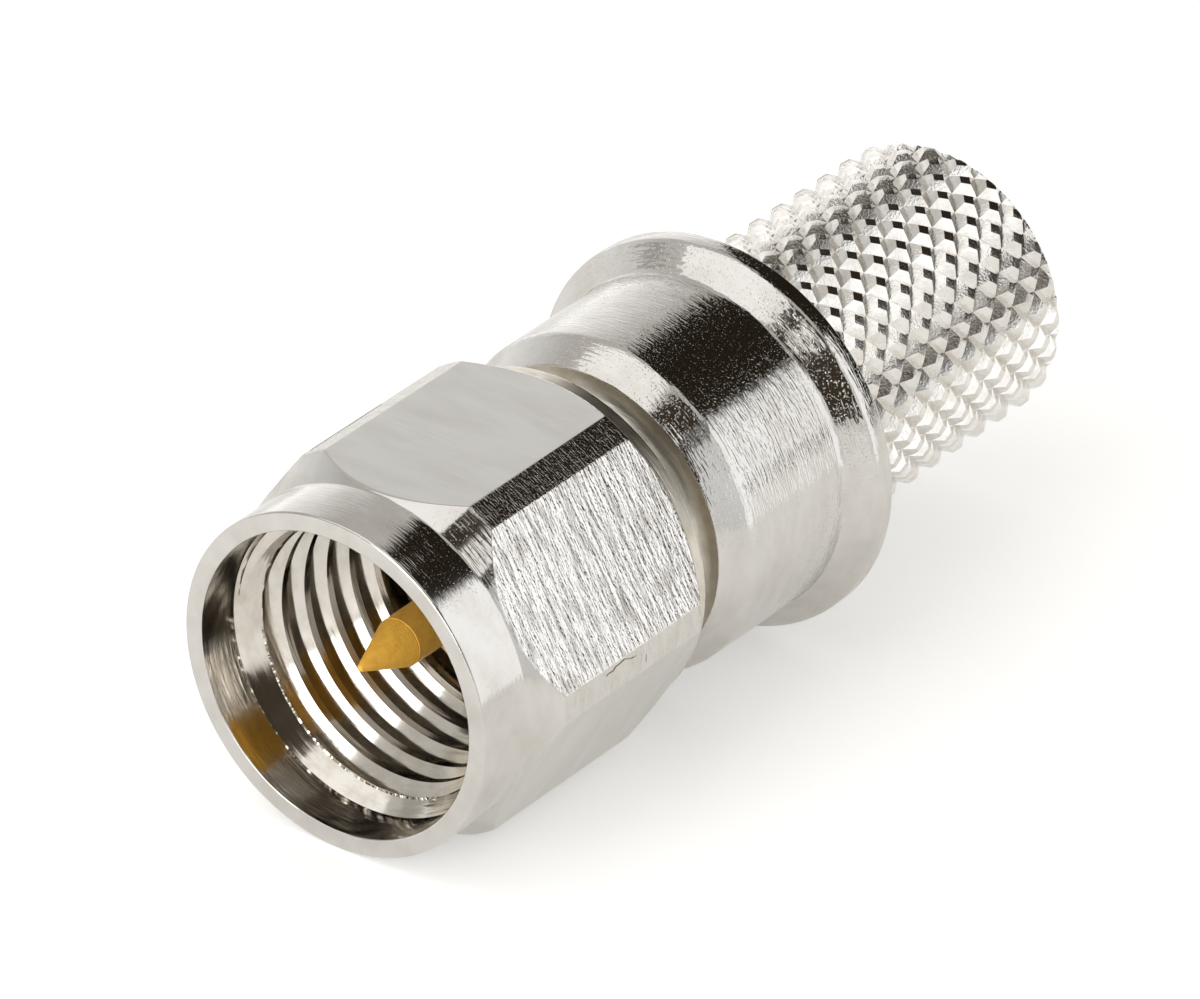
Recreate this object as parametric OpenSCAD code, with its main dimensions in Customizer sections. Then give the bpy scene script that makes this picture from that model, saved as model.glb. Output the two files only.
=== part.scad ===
// Screw-on coaxial plug for a thick cable, lying on its side.
// The plug's axis runs along Y: the coupling nut's mouth is at y = 0 and the
// cable goes in at the far +Y end. Two of the nut's flats face up and down.

/* [Coupling nut] */
// Distance across the flats of the hexagon
nut_across_flats = 11.11; // [10.9:0.01:11.8]
// Diameter that the corners of the hexagon are turned to
nut_corner_d = 12.32; // [12:0.01:12.6]
// Overall length of the nut
nut_length = 10.55; // [9.5:0.05:12]
// Diameter of the round nose and of the boss at the rear
nose_d = 11; // [10.6:0.05:11.1]
// Length of the nose in front of the hexagon
nose_length = 2; // [1.5:0.05:2.6]
// Angle of the hexagon's front chamfer to the axis
front_chamfer = 33.5; // [25:0.5:45]
// Length of the round boss behind the hexagon
boss_length = 0.44; // [0.3:0.02:0.8]
// Wall round the counterbore in the nose
nose_wall = 0.6; // [0.45:0.05:0.7]
// Depth of the counterbore in front of the thread
counterbore_depth = 1.5; // [1:0.1:2]
// Diameter of the threaded hole at the crests
thread_bore_d = 8.6; // [8.3:0.05:8.7]
// Thickness of the wall that the ring bears on
nut_wall = 1.5; // [1:0.1:2]
// How far the nut can slide along the body
nut_float = 0.55; // [0.3:0.05:0.6]
// Width of the broken edges on the nut's nose and boss
edge_break = 0.1; // [0.05:0.01:0.15]

/* [Retaining ring] */
// Thickness of the ring along the axis
ring_t = 0.6; // [0.4:0.05:0.8]
// How far the ring stands out of the neck's groove
ring_proud = 0.4; // [0.25:0.05:0.5]
// How far the ring reaches into the neck's groove
ring_bite = 0.35; // [0.25:0.05:0.45]
// Angle of the gap that lets the ring close
ring_split = 26; // [15:1:40]

/* [Body] */
// Gap between the nut and the body's shoulder
shoulder_gap = 0.65; // [0.65:0.05:1]
// Diameter of the shoulder
shoulder_d = 9.76; // [9:0.02:10.4]
// Length of the shoulder in front of its taper
shoulder_length = 0.8; // [0.4:0.02:1.2]
// Length of the taper from the shoulder to the barrel
shoulder_taper = 0.92; // [0.5:0.02:1.4]
// Diameter of the barrel
barrel_d = 11; // [10.6:0.05:11.6]
// Length from the start of the taper to the flange
barrel_length = 5.38; // [4.4:0.02:6.4]
// Diameter of the flange
flange_d = 12.66; // [12.4:0.02:13.4]
// Length of the taper in front of the flange's rim
flange_taper = 0.66; // [0.4:0.02:1]
// Thickness of the flange's rim
flange_rim = 0.61; // [0.5:0.01:1]
// Length of the lip in front of the ring's groove
lip_length = 0.55; // [0.4:0.05:0.8]

/* [Cable stem] */
// Diameter over the knurl
stem_d = 9.2; // [8.9:0.05:9.8]
// Length of the stem behind the flange
stem_length = 11.25; // [9:0.05:13]
// Diameter of the hole for the cable's core
stem_bore_d = 7.4; // [7:0.05:7.8]
// Chamfer at the end of the stem
stem_chamfer = 0.3; // [0.1:0.05:0.5]
// Diamonds in one turn of the knurl
knurl_count = 24; // [20:1:28]
// Pitch of the diamonds along the stem
knurl_pitch = 1.156; // [1:0.01:1.4]
// Depth of the knurl's grooves
knurl_depth = 0.26; // [0.15:0.01:0.35]
// Width across the flat top of a diamond
knurl_flat = 0.31; // [0.15:0.01:0.4]
// How far the last row of diamonds lies past the end of the stem
knurl_run_out = 0.166; // [0.1:0.002:0.5]
// Angle that the knurl is turned by about the stem
knurl_turn = 4; // [0:0.5:15]

/* [Insulator] */
// Diameter of the insulator
insulator_d = 5.8; // [5.4:0.05:6]
// Width of the lip that holds the insulator in
insulator_lip = 0.2; // [0.1:0.02:0.3]
// How far the insulator's face lies behind the body's front
insulator_recess = 0.4; // [0.25:0.05:0.8]
// Thickness of the body's wall behind the insulator
insulator_seat = 1; // [0.7:0.05:1.4]

/* [Contact] */
// Diameter of the pin
pin_d = 1.57; // [1.3:0.01:1.8]
// How far the pin's tip stands in front of the body
pin_reach = 6.6; // [6:0.05:7.4]
// Length of the pin's pointed tip
tip_length = 1.8; // [1.4:0.05:2.2]
// Diameter of the flat at the point
tip_flat_d = 0.2; // [0.1:0.02:0.4]
// Thickness of the step from the pin to the shank in the insulator
shank_step = 0.25; // [0.2:0.01:0.4]
// Diameter of the cup that takes the cable's centre wire
cup_d = 3.9; // [3.6:0.05:4.3]
// Length of the cup
cup_length = 5.6; // [5:0.05:6.2]
// Diameter of the hole for the centre wire
wire_d = 2.8; // [2.4:0.05:3]
// Depth of the hole for the centre wire
wire_depth = 4.4; // [3.6:0.05:4.6]
// Diameter of the sight hole in the cup
sight_d = 0.8; // [0.5:0.05:1]
// Height of the barb that holds the contact in the insulator
barb_h = 0.2; // [0.1:0.02:0.3]

/* [Clearances] */
// Between the nut's rear hole and the body's neck
running_gap = 0.08; // [0.05:0.01:0.1]
// Between the neck's lip and the thread's crests
lip_gap = 0.25; // [0.2:0.01:0.35]
// Between the ring and the faces on either side of it
ring_gap = 0.05; // [0.03:0.01:0.08]
// Between the ring and the groove's floor when the ring is open
ring_squeeze = 0.35; // [0.3:0.01:0.5]
// Between the ring and the wall of the chamber round it
chamber_gap = 0.35; // [0.3:0.01:0.4]
// Between the contact, the insulator and the holes they sit in
seat_gap = 0.03; // [0.02:0.01:0.05]

/* [Hidden] */
$fn = 96;

nickel = [0.78, 0.77, 0.74];
steel = [0.62, 0.61, 0.58];
white = [0.93, 0.93, 0.9];
gold = [0.8, 0.58, 0.2];

// Radii, all about the plug's axis
nose_r = nose_d / 2;
corner_r = nut_corner_d / 2;
counterbore_r = nose_r - nose_wall;
thread_r = thread_bore_d / 2;
neck_r = thread_r - lip_gap;
nut_hole_r = neck_r + running_gap;
ring_outer_r = neck_r + ring_proud;
ring_inner_r = neck_r - ring_bite;
groove_r = ring_inner_r - ring_squeeze;
chamber_r = ring_outer_r + chamber_gap;
shoulder_r = shoulder_d / 2;
barrel_r = barrel_d / 2;
flange_r = flange_d / 2;
stem_r = stem_d / 2;
stem_bore_r = stem_bore_d / 2;
insulator_r = insulator_d / 2;
pin_r = pin_d / 2;
shank_r = pin_r + shank_step;
cup_r = cup_d / 2;
wire_r = wire_d / 2;
barb_r = cup_r + barb_h;

// Stations along the axis, from the nut's mouth towards the cable
hex_start = nose_length + (corner_r - nose_r) / tan(front_chamfer);
boss_start = nut_length - boss_length;
hex_end = boss_start - (corner_r - nose_r);
nut_wall_face = nut_length - nut_wall;
ring_rear = nut_wall_face - ring_gap;
ring_front = ring_rear - ring_t;
chamber_start = ring_front - ring_gap - nut_float;
groove_start = ring_front - ring_gap;
groove_end = ring_rear + ring_gap;
body_front = groove_start - lip_length;
shoulder = nut_length + shoulder_gap;
taper_start = shoulder + shoulder_length;
barrel_start = taper_start + shoulder_taper;
barrel_end = taper_start + barrel_length;
rim_start = barrel_end + flange_taper;
stem_start = rim_start + flange_rim;
stem_end = stem_start + stem_length;
insulator_front = body_front + insulator_recess;
cable_stop = rim_start;
insulator_rear = cable_stop - insulator_seat;
tip = body_front - pin_reach;
cup_end = cable_stop - insulator_recess;
cup_start = cup_end - cup_length;
barb_start = cup_start + barb_h;
barb_end = barb_start + 2 * barb_h;

// Turns an outline of [radius, station] points about the plug's axis.
module turned(outline) {
    rotate([-90, 0, 0])
        rotate_extrude()
            polygon(outline);
}

module coupling_nut() {
    color(nickel)
        difference() {
            intersection() {
                rotate([-90, 0, 0])
                    cylinder(d = nut_across_flats / cos(30), h = nut_length, $fn = 6);
                turned([
                    [0, 0],
                    [nose_r - edge_break, 0],
                    [nose_r, edge_break],
                    [nose_r, nose_length],
                    [corner_r, hex_start],
                    [corner_r, hex_end],
                    [nose_r, boss_start],
                    [nose_r, nut_length - edge_break],
                    [nose_r - edge_break, nut_length],
                    [0, nut_length]
                ]);
            }
            nut_hollow();
        }
}

// The counterbore, the threaded hole at its crests, the ring's chamber and the rear hole.
module nut_hollow() {
    past = 1;
    turned([
        [0, -past],
        [counterbore_r, -past],
        [counterbore_r, counterbore_depth],
        [thread_r, counterbore_depth + counterbore_r - thread_r],
        [thread_r, chamber_start],
        [chamber_r, chamber_start],
        [chamber_r, nut_wall_face],
        [nut_hole_r, nut_wall_face],
        [nut_hole_r, nut_length + past],
        [0, nut_length + past]
    ]);
}

module retaining_ring() {
    color(steel)
        translate([0, ring_front, 0])
            rotate([-90, 0, 0])
                rotate(ring_split / 2)
                    rotate_extrude(angle = 360 - ring_split)
                        translate([ring_inner_r, 0])
                            square([ring_outer_r - ring_inner_r, ring_t]);
}

module body() {
    color(nickel)
        difference() {
            union() {
                turned([
                    [0, body_front],
                    [neck_r, body_front],
                    [neck_r, groove_start],
                    [groove_r, groove_start],
                    [groove_r, groove_end],
                    [neck_r, groove_end],
                    [neck_r, shoulder],
                    [shoulder_r, shoulder],
                    [shoulder_r, taper_start],
                    [barrel_r, barrel_start],
                    [barrel_r, barrel_end],
                    [flange_r, rim_start],
                    [flange_r, stem_start],
                    [0, stem_start]
                ]);
                knurled_stem();
            }
            body_hollow();
        }
}

// The seat of the insulator from the front and the cable's hole from the rear.
module body_hollow() {
    past = 1;
    seat_r = insulator_r + seat_gap;
    turned([
        [0, body_front - past],
        [insulator_r - insulator_lip, body_front - past],
        [insulator_r - insulator_lip, insulator_front],
        [seat_r, insulator_front],
        [seat_r, insulator_rear],
        [barb_r + seat_gap, insulator_rear],
        [barb_r + seat_gap, cable_stop],
        [stem_bore_r, cable_stop],
        [stem_bore_r, stem_end - stem_chamfer],
        [stem_bore_r + stem_chamfer, stem_end],
        [stem_bore_r + stem_chamfer, stem_end + past],
        [0, stem_end + past]
    ]);
}

// The knurled tube, cut square inside the flange and chamfered at the cable's end.
module knurled_stem() {
    root = flange_rim / 2;
    clear = 0.5;
    intersection() {
        diamond_knurl(stem_start - root, stem_end + knurl_run_out);
        turned([
            [0, stem_start - root],
            [stem_r + clear, stem_start - root],
            [stem_r + clear, stem_end - stem_chamfer - clear],
            [stem_r - stem_chamfer, stem_end],
            [0, stem_end]
        ]);
    }
}

// A solid bar with rows of flat-topped diamonds. The even places of the grid
// hold a diamond and the odd ones the crossing of two grooves.
module diamond_knurl(start, end) {
    row_h = knurl_pitch / 2;
    rows = ceil((end - start) / row_h) + 1;
    from = end - rows * row_h;
    step = 180 / knurl_count;
    floor_r = stem_r - knurl_depth;
    half = knurl_flat / sqrt(2);
    half_turn = half / stem_r * 180 / PI;
    row_points = 5 * knurl_count;

    function place(r, a, z) = [r * cos(a), r * sin(a), z];
    function diamond(j, k) = let (a = (2 * k + j % 2) * step, z = from + j * row_h) [
        place(stem_r, a - half_turn, z),
        place(stem_r, a + half_turn, z),
        place(stem_r, a, z - half),
        place(stem_r, a, z + half)
    ];
    function crossing(j, k) = place(floor_r, (2 * k + 1 - j % 2) * step, from + j * row_h);
    function corner(j, k, c) = j * row_points + 4 * k + c;
    function valley(j, k) = j * row_points + 4 * knurl_count + (k + knurl_count) % knurl_count;

    points = concat(
        [for (j = [0:rows]) each concat(
            [for (k = [0:knurl_count - 1]) each diamond(j, k)],
            [for (k = [0:knurl_count - 1]) crossing(j, k)]
        )],
        [[0, 0, from], [0, 0, from + rows * row_h]]
    );
    near_end = len(points) - 2;
    far_end = len(points) - 1;

    faces = [for (j = [0:rows], k = [0:knurl_count - 1])
        let (
            left = corner(j, k, 0),
            right = corner(j, k, 1),
            low = corner(j, k, 2),
            high = corner(j, k, 3),
            west = valley(j, k - 1 + j % 2),
            east = valley(j, k + j % 2),
            south = valley(j - 1, k),
            north = valley(j + 1, k)
        )
        each concat(
            j == rows ? [[left, west, far_end], [right, left, far_end], [east, right, far_end]] : [
                [high, right, left],
                [high, north, east], [high, east, right],
                [left, west, north], [left, north, high]
            ],
            j == 0 ? [[west, left, near_end], [left, right, near_end], [right, east, near_end]] : [
                [right, low, left],
                [right, east, south], [right, south, low],
                [low, south, west], [low, west, left]
            ]
        )
    ];
    rotate([-90, knurl_turn, 0])
        polyhedron(points, faces);
}

module insulator() {
    cup_hole_r = cup_r + seat_gap;
    shank_hole_r = shank_r + seat_gap;
    color(white)
        turned([
            [shank_hole_r, insulator_front],
            [insulator_r, insulator_front],
            [insulator_r, insulator_rear],
            [cup_hole_r, insulator_rear],
            [cup_hole_r, barb_end + seat_gap],
            [barb_r + seat_gap, barb_end + seat_gap],
            [cup_hole_r, barb_start - seat_gap],
            [cup_hole_r, cup_start],
            [shank_hole_r, cup_start]
        ]);
}

module contact_pin() {
    drill_angle = 118;
    drill_point = wire_r / tan(drill_angle / 2);
    color(gold)
        difference() {
            turned([
                [0, tip],
                [tip_flat_d / 2, tip],
                [pin_r, tip + tip_length],
                [pin_r, insulator_front],
                [shank_r, insulator_front],
                [shank_r, cup_start],
                [cup_r, cup_start],
                [cup_r, barb_start],
                [barb_r, barb_end],
                [cup_r, barb_end],
                [cup_r, cup_end],
                [wire_r, cup_end],
                [wire_r, cup_end - wire_depth],
                [0, cup_end - wire_depth - drill_point]
            ]);
            translate([0, cup_end - wire_depth + sight_d, 0])
                cylinder(d = sight_d, h = cup_d);
        }
}

coupling_nut();
retaining_ring();
body();
insulator();
contact_pin();
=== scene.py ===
import math

import bmesh
import bpy
from mathutils import Matrix, Vector, noise


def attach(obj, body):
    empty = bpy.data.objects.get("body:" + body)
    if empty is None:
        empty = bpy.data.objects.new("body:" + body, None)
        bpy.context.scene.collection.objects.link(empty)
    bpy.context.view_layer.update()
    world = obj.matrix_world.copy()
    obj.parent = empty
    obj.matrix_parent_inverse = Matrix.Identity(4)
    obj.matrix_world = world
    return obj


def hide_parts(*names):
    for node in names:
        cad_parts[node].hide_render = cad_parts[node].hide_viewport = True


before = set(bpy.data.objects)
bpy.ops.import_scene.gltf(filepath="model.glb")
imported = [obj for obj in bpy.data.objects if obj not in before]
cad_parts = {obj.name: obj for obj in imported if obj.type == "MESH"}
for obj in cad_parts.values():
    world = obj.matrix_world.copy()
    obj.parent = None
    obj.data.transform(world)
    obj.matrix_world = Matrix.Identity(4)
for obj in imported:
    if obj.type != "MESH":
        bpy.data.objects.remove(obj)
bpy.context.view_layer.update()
mm = 0.001


def linear(code):
    channels = [int(code[i:i + 2], 16) / 255 for i in (0, 2, 4)]
    return [c / 12.92 if c <= 0.04045 else ((c + 0.055) / 1.055) ** 2.4 for c in channels] + [1]


def addNode(tree, kind, settings=None, links=None):
    node = tree.nodes.new(kind)
    for key, value in (settings or {}).items():
        if isinstance(key, str) and hasattr(node, key):
            setattr(node, key, value)
        else:
            node.inputs[key].default_value = value
    for key, source in (links or {}).items():
        tree.links.new(source, node.inputs[key])
    return node


# Each pattern is sized in millimetres, first along the plug's axis and then round it. The noise
# levels where it starts and ends come next, and then the depth of its marks. The first pattern
# has no depth and sets shade and gloss.
def surface(name, look):
    material = bpy.data.materials.new(name)
    material.use_nodes = True
    tree = material.node_tree
    shader = tree.nodes["Principled BSDF"]
    shader.inputs["Metallic"].default_value = look["metallic"]
    place = addNode(tree, "ShaderNodeTexCoord").outputs["Object"]
    normal = None
    for along, across, low, high, depth in look["patterns"]:
        stretched = addNode(tree, "ShaderNodeMapping", {
            "Scale": (1 / (across * mm), 1 / (along * mm), 1 / (across * mm)),
        }, {"Vector": place})
        cloud = addNode(tree, "ShaderNodeTexNoise", {
            "Scale": 1.0, "Detail": 1.0 if depth else 3.0, "Roughness": 0.6,
        }, {"Vector": stretched.outputs["Vector"]})
        level = addNode(tree, "ShaderNodeMapRange", {
            "From Min": low, "From Max": high,
        }, {"Value": cloud.outputs["Fac"]}).outputs["Result"]
        if depth:
            links = {"Height": level, "Normal": normal} if normal else {"Height": level}
            bump = addNode(tree, "ShaderNodeBump", {"Distance": depth * mm}, links)
            normal = bump.outputs["Normal"]
            continue
        gloss = addNode(tree, "ShaderNodeMapRange", {
            "To Min": look["roughness"][0], "To Max": look["roughness"][1],
        }, {"Value": level})
        # The mix node has its colours in inputs 6 and 7 and in output 2
        tint = addNode(tree, "ShaderNodeMix", {
            "data_type": "RGBA", 6: linear(look["colour"]), 7: linear(look["shade"]),
        }, {0: level})
        tree.links.new(gloss.outputs["Result"], shader.inputs["Roughness"])
        tree.links.new(tint.outputs[2], shader.inputs["Base Color"])
    tree.links.new(normal, shader.inputs["Normal"])
    return material


# Nickel over finely turned brass: a bright, faintly warm mirror with short hair marks and specks.
# Here and below, marks are drawn about twice as wide as real ones, so that they show.
turnedNickel = surface("turnedNickelPlate", {
    "metallic": 1.0,
    "colour": "CECBC6",
    "shade": "C0BBB3",
    "roughness": (0.08, 0.13),
    "patterns": [
        (1.2, 1.6, 0.4, 0.75, 0),
        (0.08, 0.8, 0.3, 0.7, 0.003),
        (0.06, 0.07, 0.64, 0.84, 0.003),
    ],
})
# Nickel over coarser turning: streaks round the barrel glint or go dark, and bright specks dot
# the dark side.
lathedNickel = surface("lathedNickelPlate", {
    "metallic": 1.0,
    "colour": "CFCCC7",
    "shade": "C2BEB6",
    "roughness": (0.08, 0.13),
    "patterns": [
        (0.9, 1.8, 0.4, 0.75, 0),
        (0.08, 0.5, 0.3, 0.7, 0.0055),
        (0.06, 0.07, 0.6, 0.82, 0.006),
    ],
})
# Nickel over a roughly milled flat: the cutter's streaks run across it as bumps, with painted
# glints in its colour, white streaks and grey between them.
milledNickel = surface("milledNickelPlate", {
    "metallic": 1.0,
    # Painted glint and dull shade: the colour runs in streaks from this white to the grey shade
    "colour": "DFDCD7",
    "shade": "A49F99",
    "roughness": (0.1, 0.2),
    "patterns": [
        (0.2, 1.2, 0.46, 0.7, 0),
        (0.15, 1.0, 0.32, 0.68, 0.014),
        (0.07, 0.13, 0.4, 0.7, 0.006),
    ],
})
# Nickel over a finely ground flat: even satin with a few faint lines.
groundNickel = surface("groundNickelPlate", {
    "metallic": 1.0,
    "colour": "D2CFC9",
    "shade": "C9C6BF",
    "roughness": (0.14, 0.2),
    "patterns": [
        (0.9, 3.0, 0.4, 0.75, 0),
        (0.16, 4.0, 0.6, 0.8, 0.001),
    ],
})
# Nickel in the bores and over the tapped thread: softer, with fine torn rings.
tappedNickel = surface("tappedNickelPlate", {
    "metallic": 1.0,
    "colour": "D2CDC5",
    "shade": "BDB5A8",
    "roughness": (0.1, 0.18),
    "patterns": [
        (0.4, 0.9, 0.4, 0.75, 0),
        (0.12, 2.0, 0.3, 0.7, 0.003),
    ],
})
# Gold over a turned pin: matte ochre with a fine grain, which mirrors little.
satinGold = surface("satinGoldPlate", {
    "metallic": 0.2,
    "colour": "FCC24C",
    "shade": "EBAE40",
    "roughness": (0.45, 0.6),
    "patterns": [
        (0.3, 0.3, 0.4, 0.75, 0),
        (0.07, 0.07, 0.35, 0.7, 0.006),
    ],
})
# Stamped phosphor bronze: dull warm metal with a rolled grain.
rolledBronze = surface("rolledBronze", {
    "metallic": 1.0,
    "colour": "A88E66",
    "shade": "84694A",
    "roughness": (0.25, 0.4),
    "patterns": [
        (0.5, 0.9, 0.4, 0.75, 0),
        (0.08, 1.2, 0.3, 0.7, 0.006),
    ],
})
# Turned PTFE: waxy white, a little cloudy, with faint tool rings.
turnedPtfe = surface("turnedPtfe", {
    "metallic": 0.0,
    "colour": "EDECE8",
    "shade": "DDDBD4",
    "roughness": (0.38, 0.5),
    "patterns": [
        (0.8, 0.8, 0.4, 0.75, 0),
        (0.1, 2.5, 0.3, 0.7, 0.006),
    ],
})
# Nickel over rolled diamonds: bright but softer than the turned faces, with tiny glints.
rolledNickel = surface("rolledNickelPlate", {
    "metallic": 1.0,
    "colour": "E4E1DC",
    "shade": "D4CFC6",
    "roughness": (0.17, 0.27),
    "patterns": [
        (0.5, 0.5, 0.4, 0.75, 0),
        (0.08, 0.08, 0.4, 0.7, 0.0025),
    ],
})
# Nickel on the faces in the gap behind the nut: rougher than the turned faces and tinted brownish.
gapNickel = surface("gapNickelPlate", {
    "metallic": 1.0,
    "colour": "D8D2C6",
    "shade": "C4BAA8",
    "roughness": (0.3, 0.42),
    "patterns": [
        (0.3, 0.8, 0.4, 0.75, 0),
        (0.08, 0.6, 0.3, 0.7, 0.003),
    ],
})
# Nickel over the hexagon's turned corners: the tool chattered there, and its hatch shows where
# the metal looks dark.
hatchedNickel = surface("hatchedNickelPlate", {
    "metallic": 1.0,
    "colour": "D0CCC5",
    "shade": "C5C0B8",
    "roughness": (0.13, 0.25),
    "patterns": [
        (0.3, 0.8, 0.4, 0.75, 0),
        (0.07, 0.3, 0.35, 0.65, 0.008),
        (0.07, 0.08, 0.5, 0.75, 0.006),
    ],
})
# Brass showing through cracked plate: dark, brownish and dull.
tornEdge = surface("tornPlateEdge", {
    "metallic": 1.0,
    "colour": "8A7458",
    "shade": "4A3A28",
    "roughness": (0.35, 0.55),
    "patterns": [
        (0.15, 0.15, 0.4, 0.75, 0),
        (0.08, 0.08, 0.35, 0.65, 0.01),
    ],
})
print("materials made")


def softened(outline):
    # Each row is a radius, a station, the size of its soft edge and the finish that follows it
    steps, mostOfSide = 3, 0.45
    points, finishes = [], []
    for i, (r, y, edge, finish) in enumerate(outline):
        here = Vector((r, y))
        corner = [here]
        if edge:
            before = Vector(outline[i - 1][:2]) - here
            after = Vector(outline[i + 1][:2]) - here
            a = here + before.normalized() * min(edge, before.length * mostOfSide)
            b = here + after.normalized() * min(edge, after.length * mostOfSide)
            shares = [k / steps for k in range(steps + 1)]
            corner = [a * (1 - t) ** 2 + here * 2 * t * (1 - t) + b * t * t for t in shares]
        points += [tuple(point) for point in corner]
        finishes += [finish] * len(corner)
    return points, finishes


def onAxis(r, y, angle):
    # Angles in degrees from straight up towards +X
    a = math.radians(angle)
    return (r * math.sin(a) * mm, y * mm, r * math.cos(a) * mm)


def gridFaces(columns, rows, first=0, closed=True):
    faces = []
    for i in range(columns if closed else columns - 1):
        here, beside = first + i * rows, first + (i + 1) % columns * rows
        for k in range(rows - 1):
            faces.append((here + k, beside + k, beside + k + 1, here + k + 1))
    return faces


def addPiece(name, vertices, faces, materials, slots, sharpAngles, body, replaced):
    # Edges turn sharp past an angle in degrees that each material has
    mesh = bpy.data.meshes.new(name)
    mesh.from_pydata(vertices, [], faces)
    for material in materials:
        mesh.materials.append(material)
    for polygon, slot in zip(mesh.polygons, slots):
        polygon.material_index = slot
        polygon.use_smooth = True
    build = bmesh.new()
    build.from_mesh(mesh)
    bmesh.ops.remove_doubles(build, verts=build.verts, dist=1e-7)
    bmesh.ops.dissolve_degenerate(build, edges=build.edges, dist=1e-8)
    bmesh.ops.recalc_face_normals(build, faces=build.faces)
    for edge in build.edges:
        limits = [sharpAngles[face.material_index] for face in edge.link_faces]
        edge.smooth = edge.calc_face_angle(0) < math.radians(min(limits))
    build.to_mesh(mesh)
    build.free()
    piece = bpy.data.objects.new(name, mesh)
    bpy.context.scene.collection.objects.link(piece)
    weighted = piece.modifiers.new("edgeNormals", "WEIGHTED_NORMAL")
    weighted.keep_sharp = True
    weighted.weight = 100
    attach(piece, body)
    if replaced:
        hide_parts(replaced)
    return piece


# Lengths are in millimetres, and stations run from the nut's mouth towards the cable.
nut = {
    "acrossFlats": 11.11,
    "cornerRadius": 6.16,
    "noseRadius": 5.5,
    "noseEnd": 2.0,
    "hexStart": 2.997,
    "bossStart": 10.11,
    "length": 10.55,
    "counterboreRadius": 4.9,
    "counterboreDepth": 1.5,
    "wallFace": 9.05,
    "chamberStart": 7.8,
    "chamberRadius": 4.8,
    "holeRadius": 4.13,
    "softEdge": 0.05,
    "rimEdge": 0.08,
    "sharpAngle": 35,
    # A flat blends into a turned corner where their radii differ by less than this
    "cornerBlend": 0.02,
    # Columns of vertices in degrees: on a flat, on a turned corner and about the edge between
    "flatColumns": [2.4 * k for k in range(-10, 11)],
    "cornerColumns": [-30, -28.5],
    "edgeColumns": [-0.5, -0.2, 0, 0.2, 0.5],
}
thread = {
    "pitch": 1.058,
    "crestRadius": 4.3,
    "rootRadius": 4.8,
    # Station of one crest's front edge at the top of the nut
    "start": 0.076,
    # Shares of the pitch where the crest ends, the root starts and the root ends
    "crestEnd": 0.245,
    "rootStart": 0.564,
    "rootEnd": 0.681,
    "rowsToPitch": 30,
}


def leadInRadius(y):
    # A cone of 45 degrees leads from the counterbore into the thread
    return nut["counterboreRadius"] - max(y - nut["counterboreDepth"], 0)


def threadRadius(y, angle):
    # u is the share of the pitch behind a crest's front edge
    u = ((y - thread["start"]) / thread["pitch"] - angle / 360) % 1
    depth = 0.0
    if thread["crestEnd"] < u < thread["rootStart"]:
        depth = (u - thread["crestEnd"]) / (thread["rootStart"] - thread["crestEnd"])
    elif thread["rootStart"] <= u <= thread["rootEnd"]:
        depth = 1.0
    elif u > thread["rootEnd"]:
        depth = (1 - u) / (1 - thread["rootEnd"])
    r = thread["crestRadius"] + depth * (thread["rootRadius"] - thread["crestRadius"])
    return max(r, leadInRadius(y))


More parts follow.
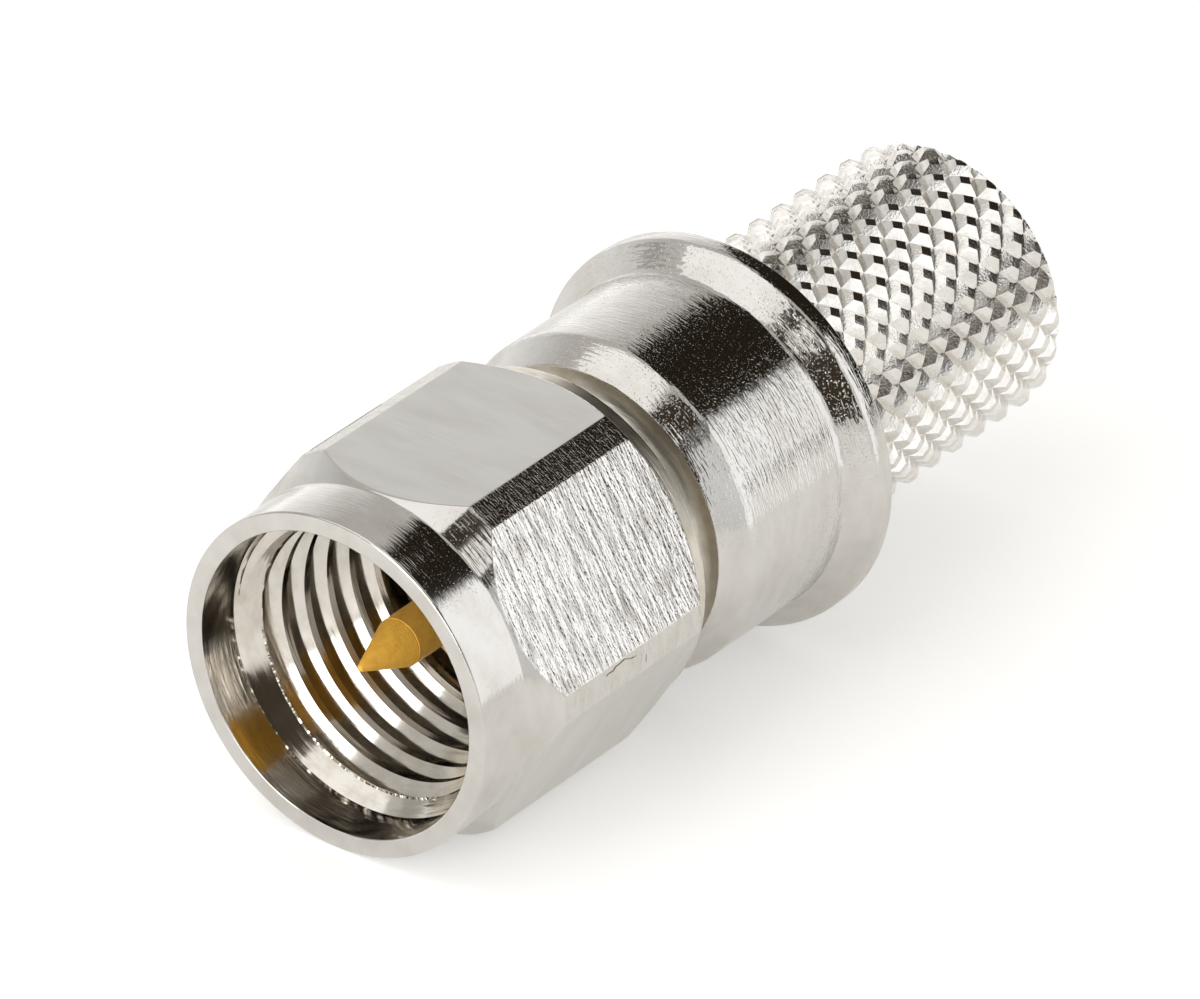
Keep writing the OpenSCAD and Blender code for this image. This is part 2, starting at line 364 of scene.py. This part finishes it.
def makeNut():
    flat = nut["acrossFlats"] / 2
    strip = math.degrees(math.acos(flat / nut["cornerRadius"]))
    side = nut["cornerColumns"] + [-strip + column for column in nut["edgeColumns"]]
    offsets = side + nut["flatColumns"] + [-offset for offset in reversed(side[1:])]
    edge, rimEdge, blendWidth = nut["softEdge"], nut["rimEdge"], nut["cornerBlend"]
    slope = (nut["hexStart"] - nut["noseEnd"]) / (nut["cornerRadius"] - nut["noseRadius"])
    materials = [turnedNickel, tappedNickel, milledNickel, groundNickel, gapNickel, hatchedNickel]
    turned, tapped, milled, ground, inGap, hatched = range(len(materials))
    angles, vertices, slots = [], [], []
    for sector, offset in [(sector, offset) for sector in range(6) for offset in offsets]:
        angle = 60 * sector + offset
        angles.append(angle)
        reach = flat / math.cos(math.radians(offset))
        fromEdge = abs(nut["cornerRadius"] - reach)
        blend = max(0.0, blendWidth - fromEdge) ** 2 / (4 * blendWidth)
        r = min(reach, nut["cornerRadius"]) - blend
        if -strip <= offset < strip:
            # Every other flat was cut more roughly
            finish = milled if sector % 2 else ground
        else:
            finish = hatched
        outline, finishes = softened([
            (nut["counterboreRadius"], nut["counterboreDepth"], 0, tapped),
            (nut["counterboreRadius"], 0, edge, turned),
            (nut["noseRadius"], 0, rimEdge, turned),
            (nut["noseRadius"], nut["noseEnd"], edge, turned),
            (r, nut["noseEnd"] + (r - nut["noseRadius"]) * slope, edge, finish),
            (r, nut["bossStart"] - (r - nut["noseRadius"]), edge, turned),
            # The boss behind the hexagon, in the gap, takes the rougher brownish tint
            (nut["noseRadius"], nut["bossStart"], edge, inGap),
            (nut["noseRadius"], nut["length"], rimEdge, turned),
            (nut["holeRadius"], nut["length"], edge, tapped),
            (nut["holeRadius"], nut["wallFace"], 0, tapped),
            (nut["chamberRadius"], nut["wallFace"], 0, tapped),
            (nut["chamberRadius"], nut["chamberStart"], 0, tapped),
            (threadRadius(nut["chamberStart"], angle), nut["chamberStart"], 0, tapped),
        ])
        vertices += [onAxis(*point, angle) for point in outline]
        slots += finishes[:-1]
    faces = gridFaces(len(angles), len(outline))
    # The thread's rows climb one pitch a turn
    shares = {k / thread["rowsToPitch"] for k in range(thread["rowsToPitch"])}
    shares |= {thread["crestEnd"], thread["rootStart"], thread["rootEnd"]}
    turns = math.ceil(nut["chamberStart"] / thread["pitch"])
    climb = [turn + share for turn in range(turns + 1) for share in sorted(shares)]
    first = len(vertices)
    columns = angles + [angles[0] + 360]
    for angle in columns:
        for c in climb:
            y = thread["start"] + thread["pitch"] * (c + angle / 360)
            y = min(max(y, nut["counterboreDepth"]), nut["chamberStart"])
            vertices.append(onAxis(threadRadius(y, angle), y, angle))
    threadFaces = gridFaces(len(columns), len(climb), first, False)
    slots += [tapped] * len(threadFaces)
    addPiece("couplingNut", vertices, faces + threadFaces, materials, slots,
             [nut["sharpAngle"]] * len(materials), "nut", "coupling_nut")


plug = {
    "front": 7.8,
    "neckRadius": 4.05,
    "grooveRadius": 3.35,
    "grooveStart": 8.35,
    "grooveEnd": 9.05,
    "shoulder": 11.2,
    "shoulderRadius": 4.88,
    "hollowSteps": 6,
    "taperStart": 12.0,
    "barrelStart": 12.92,
    "barrelRadius": 5.5,
    "barrelEnd": 17.38,
    "flangeStart": 18.04,
    "flangeRadius": 6.33,
    "flangeEnd": 18.65,
    "lipRadius": 2.7,
    "seatRadius": 2.93,
    "seatFront": 8.2,
    "seatRear": 17.04,
    "cupHoleRadius": 2.18,
    "cableStop": 18.04,
    "cableRadius": 3.7,
    "softEdge": 0.08,
    "neckEdge": 0.12,
    "shoulderEdge": 0.04,
    "taperEdge": 0.128,
    "barrelEdge": 0.16,
    "flangeEdge": 0.12,
    "sharpAngle": 35,
}
knurl = {
    "end": 29.9,
    "radius": 4.6,
    "depth": 0.26,
    "chamfer": 0.3,
    "starts": 24,
    "pitch": 1.156,
    # Where one diamond's top lies
    "topStation": 24.286,
    "topAngle": 4.0,
    # Height of the surface, from the groove to the top, at each step from a diamond's middle
    "heights": [1.0, 1.0, 1.0, 0.99, 0.8, 0.6, 0.4, 0.2, 0.0],
    "sharpAngle": 25,
}


# Each diamond is a grid of steps: i counts them round the stem and j along it.
knurlSpan = len(knurl["heights"]) - 1
knurlTurn = knurl["starts"] * 2 * knurlSpan
knurlRise = knurl["pitch"] / (2 * knurlSpan)


def stepsFromTop(i, j):
    # Steps from the middle of the nearest diamond
    span = knurlSpan
    return min(abs((i + span) % (2 * span) - span) + abs((j + span) % (2 * span) - span),
               abs(i % (2 * span) - span) + abs(j % (2 * span) - span))


def stemPoint(i, j):
    # Radius and station of a step on the knurled stem
    y = min(max(knurl["topStation"] + j * knurlRise, plug["flangeEnd"]), knurl["end"])
    height = knurl["heights"][min(stepsFromTop(i, j), knurlSpan)]
    r = knurl["radius"] - knurl["depth"] * (1 - height)
    return min(r, knurl["radius"] - knurl["chamfer"] + knurl["end"] - y), y


def makeBody():
    edge = plug["softEdge"]
    materials = [lathedNickel, turnedNickel, tappedNickel, gapNickel, rolledNickel]
    lathed, turned, tapped, inGap, rolled = range(len(materials))
    # A hollow curve runs from the neck up to the shoulder's edge
    rise = plug["taperStart"] - plug["shoulder"]
    hollow = []
    for k in range(plug["hollowSteps"]):
        bend = math.radians(90 / plug["hollowSteps"] * k)
        hollow.append((plug["shoulderRadius"] - rise * math.cos(bend),
                       plug["shoulder"] + rise * math.sin(bend), 0, inGap))
    outline, finishes = softened([
        (knurl["radius"] - knurl["chamfer"], knurl["end"], 0, turned),
        (plug["cableRadius"] + knurl["chamfer"], knurl["end"], edge, turned),
        (plug["cableRadius"], knurl["end"] - knurl["chamfer"], edge, tapped),
        (plug["cableRadius"], plug["cableStop"], 0, tapped),
        (plug["cupHoleRadius"], plug["cableStop"], edge, tapped),
        (plug["cupHoleRadius"], plug["seatRear"], 0, tapped),
        (plug["seatRadius"], plug["seatRear"], 0, tapped),
        (plug["seatRadius"], plug["seatFront"], 0, tapped),
        (plug["lipRadius"], plug["seatFront"], 0, tapped),
        (plug["lipRadius"], plug["front"], edge, tapped),
        (plug["neckRadius"], plug["front"], plug["neckEdge"], tapped),
        (plug["neckRadius"], plug["grooveStart"], 0, tapped),
        (plug["grooveRadius"], plug["grooveStart"], 0, tapped),
        (plug["grooveRadius"], plug["grooveEnd"], 0, tapped),
        # From the groove up to the shoulder, in the gap behind the nut, the face takes the rougher
        # brownish tint
        (plug["neckRadius"], plug["grooveEnd"], 0, inGap),
        *hollow,
        (plug["shoulderRadius"], plug["taperStart"], plug["shoulderEdge"], lathed),
        (plug["barrelRadius"], plug["barrelStart"], plug["taperEdge"], lathed),
        (plug["barrelRadius"], plug["barrelEnd"], plug["barrelEdge"], lathed),
        (plug["flangeRadius"], plug["flangeStart"], plug["flangeEdge"], lathed),
        (plug["flangeRadius"], plug["flangeEnd"], edge, turned),
        (knurl["radius"], plug["flangeEnd"], 0, turned),
    ])
    low = math.floor((plug["flangeEnd"] - knurl["topStation"]) / knurlRise)
    high = math.ceil((knurl["end"] - knurl["topStation"]) / knurlRise)
    angles = [knurl["topAngle"] + 360 * i / knurlTurn for i in range(knurlTurn)]
    vertices = []
    for i, angle in enumerate(angles):
        # The flange's rear face ends on the knurl
        vertices += [onAxis(*point, angle) for point in outline[:-1] + [stemPoint(i, low)]]
    faces = gridFaces(knurlTurn, len(outline))
    slots = finishes[:-1] * knurlTurn
    first, rows = len(vertices), high - low + 1
    for i, angle in enumerate(angles):
        vertices += [onAxis(*stemPoint(i, j), angle) for j in range(low, high + 1)]
    for a, b, c, d in gridFaces(knurlTurn, rows, first):
        # A diamond's flat top and its four sides follow the steps' diagonals
        i, k = divmod(a - first, rows)
        j = low + k
        up = [stepsFromTop(i, j), stepsFromTop(i + 1, j + 1)]
        down = [stepsFromTop(i + 1, j), stepsFromTop(i, j + 1)]
        level = up[0] == up[1] and (down[0] != down[1] or up[0] > down[0])
        faces += [(a, b, c), (a, c, d)] if level else [(a, b, d), (b, c, d)]
        slots += [rolled, rolled]
    sharpAngles = [plug["sharpAngle"]] * (len(materials) - 1) + [knurl["sharpAngle"]]
    addPiece("plugBody", vertices, faces, materials, slots, sharpAngles,
             "plug", "body")


pin = {
    "tip": 1.2,
    "tipRadius": 0.1,
    "coneEnd": 3.0,
    "radius": 0.785,
    "shankStart": 8.2,
    "shankRadius": 1.035,
    "cupStart": 12.04,
    "cupRadius": 1.95,
    "barbStart": 12.24,
    "barbEnd": 12.64,
    "barbRadius": 2.15,
    "cupEnd": 17.64,
    "wireRadius": 1.4,
    "wireEnd": 13.24,
    "wirePoint": 12.4,
    "sightRadius": 0.4,
    "sightStation": 14.04,
    "drillLength": 1.4,
    "softEdge": 0.04,
    "sharpAngle": 12,
    "columns": 90,
    # The tool left a fine line where the cone ends
    "lineDepth": 0.015,
}


def makePin():
    edge, line = pin["softEdge"], pin["lineDepth"]
    outline, finishes = softened([
        (0, pin["tip"], 0, 0),
        (pin["tipRadius"], pin["tip"], edge, 0),
        (pin["radius"] - line, pin["coneEnd"] - line, 0, 0),
        (pin["radius"] - line * 2, pin["coneEnd"] + line, 0, 0),
        (pin["radius"], pin["coneEnd"] + line * 2, 0, 0),
        (pin["radius"], pin["shankStart"], 0, 0),
        (pin["shankRadius"], pin["shankStart"], 0, 0),
        (pin["shankRadius"], pin["cupStart"], 0, 0),
        (pin["cupRadius"], pin["cupStart"], 0, 0),
        (pin["cupRadius"], pin["barbStart"], 0, 0),
        (pin["barbRadius"], pin["barbEnd"], 0, 0),
        (pin["cupRadius"], pin["barbEnd"], 0, 0),
        (pin["cupRadius"], pin["cupEnd"], edge, 0),
        (pin["wireRadius"], pin["cupEnd"], edge, 0),
        (pin["wireRadius"], pin["wireEnd"], 0, 0),
        (0, pin["wirePoint"], 0, 0),
    ])
    angles = [360 * i / pin["columns"] for i in range(pin["columns"])]
    vertices = [onAxis(*point, angle) for angle in angles for point in outline]
    faces = gridFaces(len(angles), len(outline))
    slots = finishes[:-1] * len(angles)
    piece = addPiece("contactPin", vertices, faces, [satinGold], slots, [pin["sharpAngle"]],
                     "plug", "contact_pin")
    # A small hole through the top of the cup shows the wire in it
    bpy.ops.mesh.primitive_cylinder_add(
        radius=pin["sightRadius"] * mm, depth=pin["drillLength"] * mm,
        location=onAxis(pin["cupRadius"], pin["sightStation"], 0))
    drill = bpy.context.object
    cut = piece.modifiers.new("sightHole", "BOOLEAN")
    cut.object = drill
    with bpy.context.temp_override(object=piece):
        bpy.ops.object.modifier_apply(modifier="sightHole")
    bpy.data.objects.remove(drill)


def ribFaces(count, first=0):
    # A closed rib with three corners
    faces = [(first, first + 1, first + 2), tuple(first + 3 * count - k for k in (1, 2, 3))]
    for here in range(first, first + 3 * (count - 1), 3):
        for k, after in ((0, 1), (1, 2), (2, 0)):
            faces.append((here + k, here + 3 + k, here + 3 + after, here + after))
    return faces


# The tap left a ragged lip along the lower half of the thread's start.
burr = {
    "from": 150,
    "to": 262,
    "step": 0.35,
    "height": 0.17,
    # Teeth to a degree, coarse and fine, and how much the fine ones count
    "coarseTeeth": 0.9,
    "fineTeeth": 2.3,
    "fineShare": 0.6,
    "seed": 3.7,
    # Share of the height that the lip has on average, and the least
    "meanShare": 0.25,
    "leastShare": 0.02,
    # How far the lip's edge leans in and forward, as shares of its height
    "leanIn": 0.5,
    "leanForward": 0.7,
    "edgeReach": 0.03,
    # How deep the lip's foot sits in the nut, and how far it reaches forward and back
    "frontDepth": 0.05,
    "frontReach": 0.07,
    "rearDepth": 0.02,
    "rearReach": 0.02,
    # The thread's start is looked for in these steps, up to this station
    "searchStep": 0.01,
    "searchEnd": 2.3,
    "tolerance": 1e-6,
    "sharpAngle": 25,
}


def makeBurr():
    vertices = []
    count = int((burr["to"] - burr["from"]) / burr["step"]) + 1
    slack = burr["tolerance"]
    for i in range(count):
        angle = burr["from"] + i * burr["step"]
        y = nut["counterboreDepth"]
        while y < burr["searchEnd"] and threadRadius(y, angle) <= leadInRadius(y) + slack:
            y += burr["searchStep"]
        r = threadRadius(y, angle)
        coarse = noise.noise(Vector((angle * burr["coarseTeeth"], burr["seed"], 0)))
        fine = noise.noise(Vector((angle * burr["fineTeeth"], 0, burr["seed"])))
        share = burr["meanShare"] + (coarse + burr["fineShare"] * fine)
        tall = burr["height"] * min(max(share, burr["leastShare"]), 1.0)
        edgeStation = y - burr["edgeReach"] - tall * burr["leanForward"]
        vertices += [
            onAxis(r + burr["frontDepth"], y - burr["frontReach"], angle),
            onAxis(r - tall * burr["leanIn"], edgeStation, angle),
            onAxis(r + burr["rearDepth"], y + burr["rearReach"], angle),
        ]
    faces = ribFaces(count)
    addPiece("threadBurr", vertices, faces, [tappedNickel], [0] * len(faces),
             [burr["sharpAngle"]], "nut", None)


# Hair cracks in the nut's plate, each as angles and stations along it.
cracks = {
    "radius": 6.164,
    "width": 0.035,
    # Share of the width at both ends
    "endShare": 0.4,
    "sharpAngle": 35,
    "paths": [
        [(87.9, 4.87), (87.4, 4.97), (87.6, 5.19), (86.8, 5.32),
         (86.7, 5.54), (86.3, 5.74), (87.5, 6.05), (87.8, 6.32)],
        [(89.5, 6.79), (91.9, 6.77)],
        [(-33.6, 3.3), (-33.4, 3.9), (-33.7, 4.2), (-33.5, 5.1), (-33.6, 5.9), (-33.4, 6.6)],
    ],
}


def makeCracks():
    vertices, faces = [], []
    radius, half = cracks["radius"], cracks["width"] / 2
    spread = math.degrees(half / radius)
    for points in cracks["paths"]:
        first = len(vertices)
        for k, (angle, y) in enumerate(points):
            share = 1.0 if 0 < k < len(points) - 1 else cracks["endShare"]
            vertices += [
                onAxis(radius, y - half * share, angle - spread * share),
                onAxis(radius, y + half * share, angle + spread * share),
                onAxis(radius - cracks["width"], y, angle),
            ]
        faces += ribFaces(len(points), first)
    addPiece("plateCracks", vertices, faces, [tornEdge], [0] * len(faces),
             [cracks["sharpAngle"]], "nut", None)


makeNut()
makeBody()
makePin()
makeBurr()
makeCracks()
for node, material in (("insulator", turnedPtfe), ("retaining_ring", rolledBronze)):
    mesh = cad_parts[node].data
    mesh.materials.clear()
    mesh.materials.append(material)
print("pieces made")

studio = {
    "world": "F2F0EC",
    "worldStrength": 0.76,
    "floor": "F4F4F3",
    # How much the floor glows for the camera and for the metal
    "floorGlow": (0.34, 0.27),
    # From the plug to the floor's sides, in metres
    "floorReach": 3,
    # Near screens and dark cards that only the metal sees, so that they leave no mark on the floor
    "mirrored": ["rightScreenEdge", "rightFrontScreen", "rightScreen", "cornerScreen",
                 "cornerCard", "darkCard", "darkRear", "darkRoom"],
    # Each panel's colour, its strength low down and high up, and its corners as azimuth from +Y
    # to +X, elevation and distance in millimetres
    "panels": {
        "leftScreen": ("FFFFFF", 1.68, 0.7, [
            (-66, -6, 900), (-20, -6, 900), (-20, 36, 900), (-66, 36, 900),
        ]),
        "leftFarScreen": ("FFFFFF", 1.25, 0.66, [
            (-108, -6, 900), (-66, -6, 900), (-66, 36, 900), (-108, 36, 900),
        ]),
        "leftFrontScreen": ("F2F0EC", 0.95, 0.52, [
            (-132, -6, 900), (-108, -6, 900), (-108, 29, 900), (-132, 29, 900),
        ]),
        "frontTopScreen": ("FFFFFF", 1.38, 1.38, [
            (-131, 30, 900), (168, 30, 900), (167, 42, 900), (151, 64, 900),
            (90, 84, 900), (-70, 72, 900), (-105, 50, 900),
        ]),
        "frontScreen": ("FFFFFF", 5.0, 5.0, [
            (156.6, 1.8, 65.4), (197.6, 1.8, 63), (197.6, 28.4, 71.5), (167.8, 29, 70.2),
        ]),
        "rightScreenEdge": ("FCFDFF", 0.3, 0.3, [
            (110.9, -10.1, 45.7), (45.7, -7.8, 59.2), (43, 1.9, 61.6), (38.4, 1.7, 67.7),
            (27.7, 33.6, 108.5), (110.9, 49.2, 68.7),
        ]),
        "rightFrontScreen": ("FCFDFF", 0.95, 0.95, [
            (109.3, -9.4, 43), (78.7, -9.7, 41.4), (78.7, 43.1, 55.9), (109.3, 40.3, 55.6),
        ]),
        "rightScreen": ("FCFDFF", 1.45, 1.45, [
            (78.7, -9.7, 41.4), (45, -7.1, 57), (42.3, 7.2, 59.9), (38.9, 6.7, 64.1),
            (38.4, 11, 65.6), (37, 16.8, 69.4), (35.1, 22.7, 75.4), (32.8, 30.8, 85.9),
            (32.4, 37.9, 94.5), (78.7, 43.1, 55.9),
        ]),
        "cornerScreen": ("FFFFFF", 1.3, 1.3, [
            (109.2, 64, 27.8), (105.3, 47.6, 33.8), (122.5, 43.8, 36.1), (133.7, 57.5, 29.6),
        ]),
        "cornerCard": ("2A241C", 2.0, 2.0, [
            (110, 76.8, 25.7), (109.2, 64, 27.8), (133.7, 57.5, 29.6), (148.6, 67.1, 27.1),
        ]),
        "darkCard": ("2A241C", 1.0, 1.0, [
            (14.7, 67.1, 43.6), (-29, 19.5, 120.4), (-10.5, 17.9, 130.9), (42.8, 36.6, 67.4),
        ]),
        "darkRear": ("2A241C", 1.0, 1.0, [
            (-27, 2, 800), (75, 2, 800), (75, 40, 800), (25, 60, 800),
            (0, 52, 800), (-12, 45, 800), (-22, 29, 800), (-27, 16, 800),
        ]),
        "darkRoom": ("2A241C", 2.5, 2.5, [
            (124, 2, 800), (157, 2, 800), (160, 26, 800), (166, 41, 800), (151, 63.5, 800),
            (132, 69, 800), (108, 66, 800), (106, 43, 800), (122, 36, 800),
        ]),
    },
}


def stageMaterial(name, ownColour, glowColour):
    # Matte card that glows, as a lit studio wall does
    material = bpy.data.materials.new(name)
    material.use_nodes = True
    shader = material.node_tree.nodes["Principled BSDF"]
    shader.inputs["Base Color"].default_value = linear(ownColour)
    shader.inputs["Roughness"].default_value = 1.0
    shader.inputs["Specular IOR Level"].default_value = 0.0
    shader.inputs["Emission Color"].default_value = linear(glowColour)
    return material, shader.inputs["Emission Strength"]


def addStage(name, corners, material):
    mesh = bpy.data.meshes.new(name)
    mesh.from_pydata(corners, [], [range(len(corners))])
    mesh.materials.append(material)
    thing = bpy.data.objects.new(name, mesh)
    bpy.context.scene.collection.objects.link(thing)
    return thing


def makeFloor():
    # The plug rests on the nose's front edge and on the flange, so the floor falls a little
    # towards the cable
    drop = (plug["flangeRadius"] - nut["noseRadius"]) / plug["flangeStart"]
    sides = [(-1, -1), (1, -1), (1, 1), (-1, 1)]
    places = [(x * studio["floorReach"], y * studio["floorReach"]) for x, y in sides]
    corners = [(x, y, -nut["noseRadius"] * mm - drop * y) for x, y in places]
    material, strength = stageMaterial("whiteFloor", studio["floor"], "FFFFFF")
    # Its own glow reaches only the camera, and more faintly what the metal sees of it
    forCamera, forMetal = studio["floorGlow"]
    tree = material.node_tree
    path = addNode(tree, "ShaderNodeLightPath")
    mirrored = addNode(tree, "ShaderNodeMath", {"operation": "MAXIMUM"}, {
        0: path.outputs["Is Glossy Ray"], 1: path.outputs["Is Transmission Ray"],
    })
    faint = addNode(tree, "ShaderNodeMath", {"operation": "MULTIPLY", 1: forMetal}, {
        0: mirrored.outputs["Value"],
    })
    glow = addNode(tree, "ShaderNodeMath", {"operation": "MULTIPLY_ADD", 1: forCamera}, {
        0: path.outputs["Is Camera Ray"], 2: faint.outputs["Value"],
    })
    tree.links.new(glow.outputs["Value"], strength)
    addStage("floor", corners, material)


def makePanel(name, colour, low, high, places):
    corners = []
    for azimuth, elevation, distance in places:
        a, e = math.radians(azimuth), math.radians(elevation)
        way = Vector((math.sin(a) * math.cos(e), math.cos(a) * math.cos(e), math.sin(e)))
        corners.append(way * distance * mm)
    material, strength = stageMaterial(name, "000000", colour)
    strength.default_value = low
    if low != high:
        tree = material.node_tree
        place = addNode(tree, "ShaderNodeTexCoord").outputs["Generated"]
        height = addNode(tree, "ShaderNodeSeparateXYZ", None, {"Vector": place}).outputs["Z"]
        glow = addNode(tree, "ShaderNodeMapRange", {"To Min": low, "To Max": high}, {
            "Value": height,
        })
        tree.links.new(glow.outputs["Result"], strength)
    panel = addStage(name, corners, material)
    panel.visible_camera = False
    panel.visible_diffuse = panel.visible_shadow = name not in studio["mirrored"]


makeFloor()
for name, settings in studio["panels"].items():
    makePanel(name, *settings)

world = bpy.data.worlds.new("studio")
bpy.context.scene.world = world
world.use_nodes = True
sky = world.node_tree
background = sky.nodes["Background"]
background.inputs["Color"].default_value = linear(studio["world"])
path = addNode(sky, "ShaderNodeLightPath")
level = addNode(sky, "ShaderNodeMapRange", {"To Min": studio["worldStrength"], "To Max": 1.0},
                {"Value": path.outputs["Is Camera Ray"]})
sky.links.new(level.outputs["Result"], background.inputs["Strength"])
print("studio made")

camera = {
    "place": (184.30, -229.72, 181.05),
    "right": (0.79602, 0.60527, 0.0),
    "up": (-0.30900, 0.40638, 0.85987),
    "focalPixels": 12001.4,
    "imageWidth": 1200,
}
lens = bpy.data.cameras.new("camera")
lens.sensor_width = 36
lens.lens = camera["focalPixels"] * lens.sensor_width / camera["imageWidth"]
lens.clip_start = 0.01
eye = bpy.data.objects.new("camera", lens)
right, up = Vector(camera["right"]), Vector(camera["up"])
turn = Matrix((right, up, right.cross(up))).transposed().to_4x4()
eye.matrix_world = Matrix.Translation(Vector(camera["place"]) * mm) @ turn
bpy.context.scene.collection.objects.link(eye)
bpy.context.scene.camera = eye
bpy.context.scene.view_settings.view_transform = "Standard"
